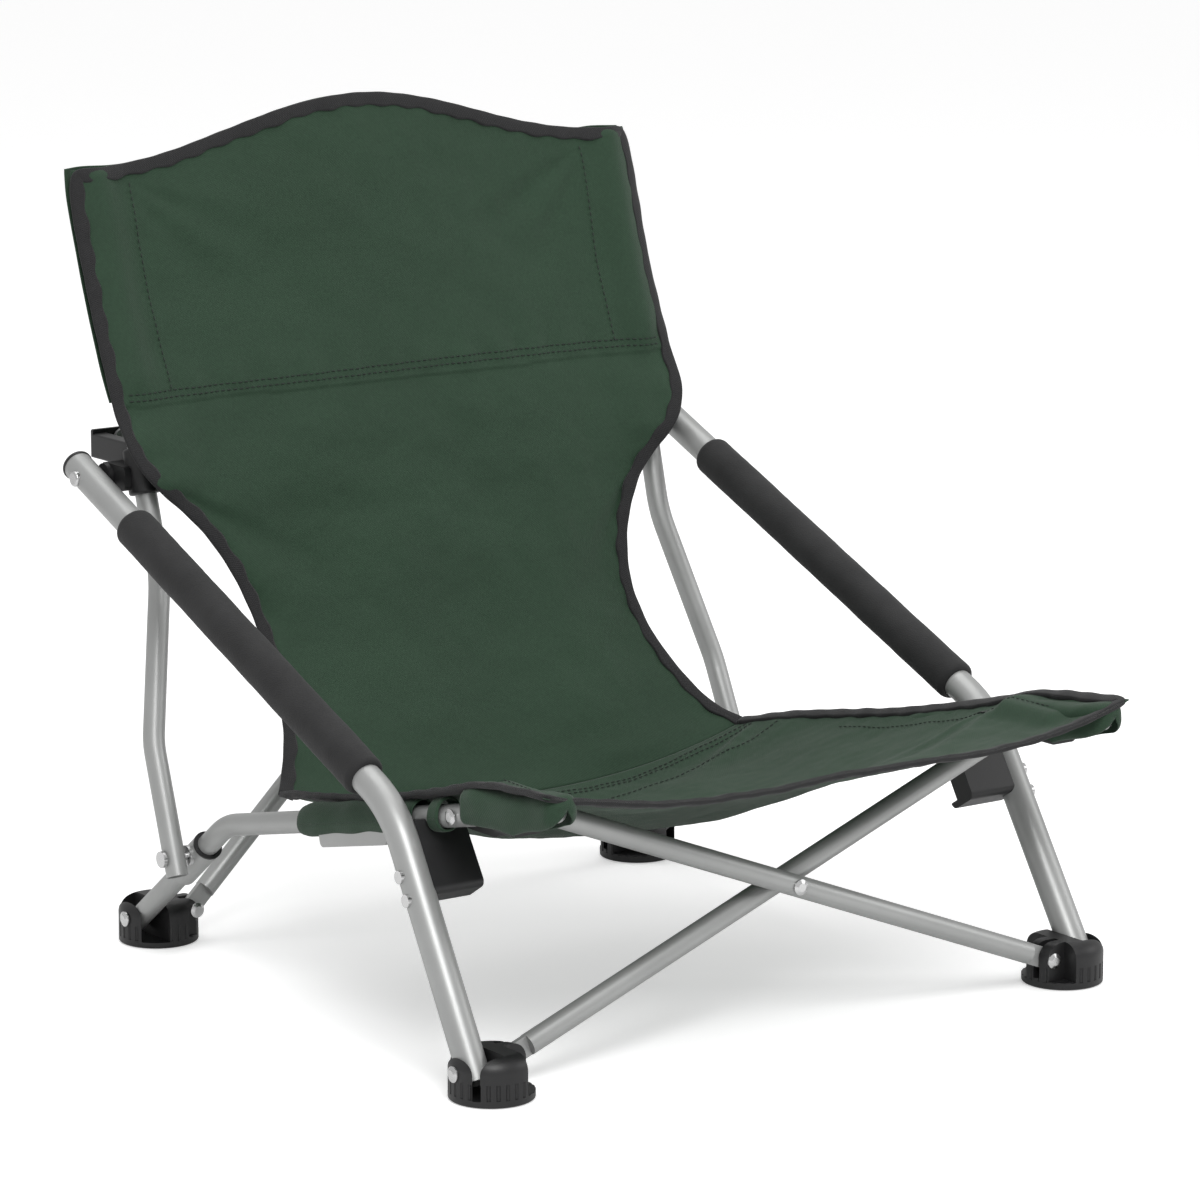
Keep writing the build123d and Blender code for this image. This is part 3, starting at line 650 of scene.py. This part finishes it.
# ------------------------------------------------------------------ foam sleeves: soft rounded ends, faint grip marks
AB, AT = np.array((259.0, -123.0, 179.0)), np.array((259.0, 290.0, 354.0))
AU = (AT - AB) / np.linalg.norm(AT - AB)
AV = np.cross(AU, (1, 0, 0)); AV /= np.linalg.norm(AV)
foams = []
for s, side in ((-1, "left"), (1, "right")):
    n, m = 150, 48
    V = []
    prof = []
    L0, L1 = 37.0, 365.0
    for k in range(n + 1):
        f = k / n
        t = L0 + (L1 - L0) * (0.5 - 0.5 * math.cos(math.pi * f)) if k not in (0, n) else (L0 if k == 0 else L1)
        e = min(t - L0, L1 - t)
        r = 11.3 + 3.7 * math.sqrt(max(0.0, 1 - (1 - min(1, e / 4.5)) ** 2))
        prof.append((t, r))
    for t, r in prof:
        for q in range(m):
            a = 2 * math.pi * q / m
            c, sn = math.cos(a), math.sin(a)
            rr = r + (0.35 * noise.noise(Vector((c * 1.2, sn * 1.2 + s, t / 30))) + 0.12 * noise.noise(Vector((c * 4, sn * 4, t / 6)))) * (1 if r > 13 else 0.2)
            rr = min(rr, 15.2)
            P = AB + AU * t + np.array((1.0, 0, 0)) * (rr * c) + AV * (rr * sn)
            V.append(W((s * P[0], P[1], P[2])))
    F = [(k * m + q, k * m + (q + 1) % m, (k + 1) * m + (q + 1) % m, (k + 1) * m + q) for k in range(n) for q in range(m)]
    # inner bore, so the sleeve is a closed tube of foam
    base = len(V)
    for t in (L0, L1):
        for q in range(m):
            a = 2 * math.pi * q / m
            P = AB + AU * t + np.array((1.0, 0, 0)) * (11.02 * math.cos(a)) + AV * (11.02 * math.sin(a))
            V.append(W((s * P[0], P[1], P[2])))
    for q in range(m):
        F.append((base + q, base + (q + 1) % m, (q + 1) % m, q))
        F.append((base + m + (q + 1) % m, base + m + q, n * m + q, n * m + (q + 1) % m))
        F.append((base + (q + 1) % m, base + q, base + m + q, base + m + (q + 1) % m))
    o = make(f"foam_sleeve_{side}", V, F, M_FOAM, None, body=f"arm_{side}")
    bm = bmesh.new(); bm.from_mesh(o.data); bmesh.ops.recalc_face_normals(bm, faces=bm.faces); bm.to_mesh(o.data); bm.free()
    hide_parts(f"armrest_foam_{side}")
    foams.append(o)

# ------------------------------------------------------------------ thickness and separate mesh copies
def mesh_area(o):
    return sum(p.area for p in o.data.polygons)


decl = [(back_panel, V1, NU, NV, "stretched", [back_binding, back_stitching]), (back_pocket, V2, 110, 90, "stretched", []), (seat_panel, V3, SU, SV, "stretched", [seat_binding, seat_stitching])]
for o, vv, nu, nv, held, wp in decl:
    md = o.modifiers.new("thick", "SOLIDIFY"); md.thickness = 0.0008; md.offset = -1
for o in tunnels:
    me = o.data
    a = mesh_area(o)

for o in (back_panel, back_pocket, back_binding, back_stitching):
    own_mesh(o)
for o in (seat_panel, seat_binding, seat_stitching):
    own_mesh(o)

# ------------------------------------------------------------------ floor and light
me = bpy.data.meshes.new("floor")
R_ = 9.0
me.from_pydata([(-R_, -R_, -0.0004), (R_, -R_, -0.0004), (R_, R_, -0.0004), (-R_, R_, -0.0004)], [], [(0, 1, 2, 3)])
fl = bpy.data.objects.new("floor", me)
bpy.context.scene.collection.objects.link(fl)
mf, ntf, bf = new_mat("floor_pale")
bf.inputs["Base Color"].default_value = (0.86, 0.86, 0.86, 1)
bf.inputs["Roughness"].default_value = 0.75
lf = ntf.nodes.new("ShaderNodeLightPath")
mf2 = ntf.nodes.new("ShaderNodeMath"); mf2.operation = "MULTIPLY"
mf2.inputs[1].default_value = 0.42
ntf.links.new(lf.outputs["Is Camera Ray"], mf2.inputs[0])
bf.inputs["Emission Color"].default_value = (1, 1, 1, 1)
ntf.links.new(mf2.outputs[0], bf.inputs["Emission Strength"])
me.materials.append(mf)
w = bpy.data.worlds.new("world")
bpy.context.scene.world = w
w.use_nodes = True
w.node_tree.nodes["Background"].inputs[0].default_value = (1, 1, 1, 1)
lp = w.node_tree.nodes.new("ShaderNodeLightPath")
ma = w.node_tree.nodes.new("ShaderNodeMath"); ma.operation = "MULTIPLY_ADD"
ma.inputs[1].default_value, ma.inputs[2].default_value = 0.38, 0.62
w.node_tree.links.new(lp.outputs["Is Camera Ray"], ma.inputs[0])
w.node_tree.links.new(ma.outputs[0], w.node_tree.nodes["Background"].inputs[1])


def area_light(name, loc, target, size, power):
    d = bpy.data.lights.new(name, "AREA")
    d.shape = "RECTANGLE"; d.size, d.size_y = size
    d.energy = power
    o = bpy.data.objects.new(name, d)
    bpy.context.scene.collection.objects.link(o)
    o.location = loc
    o.rotation_euler = (Vector(loc) - Vector(target)).to_track_quat("Z", "Y").to_euler()
    return o


area_light("key", (-1.2, -2.2, 2.6), (0, 0, 0.25), (1.4, 1.4), 64)
area_light("fill", (2.6, -1.6, 1.6), (0, 0, 0.25), (2.0, 1.4), 16)
area_light("top", (0.2, 0.6, 3.0), (0, 0, 0.2), (2.4, 2.4), 30)
bpy.context.scene.view_settings.view_transform = "Standard"
bpy.context.scene.view_settings.look = "None"

bpy.context.view_layer.update()
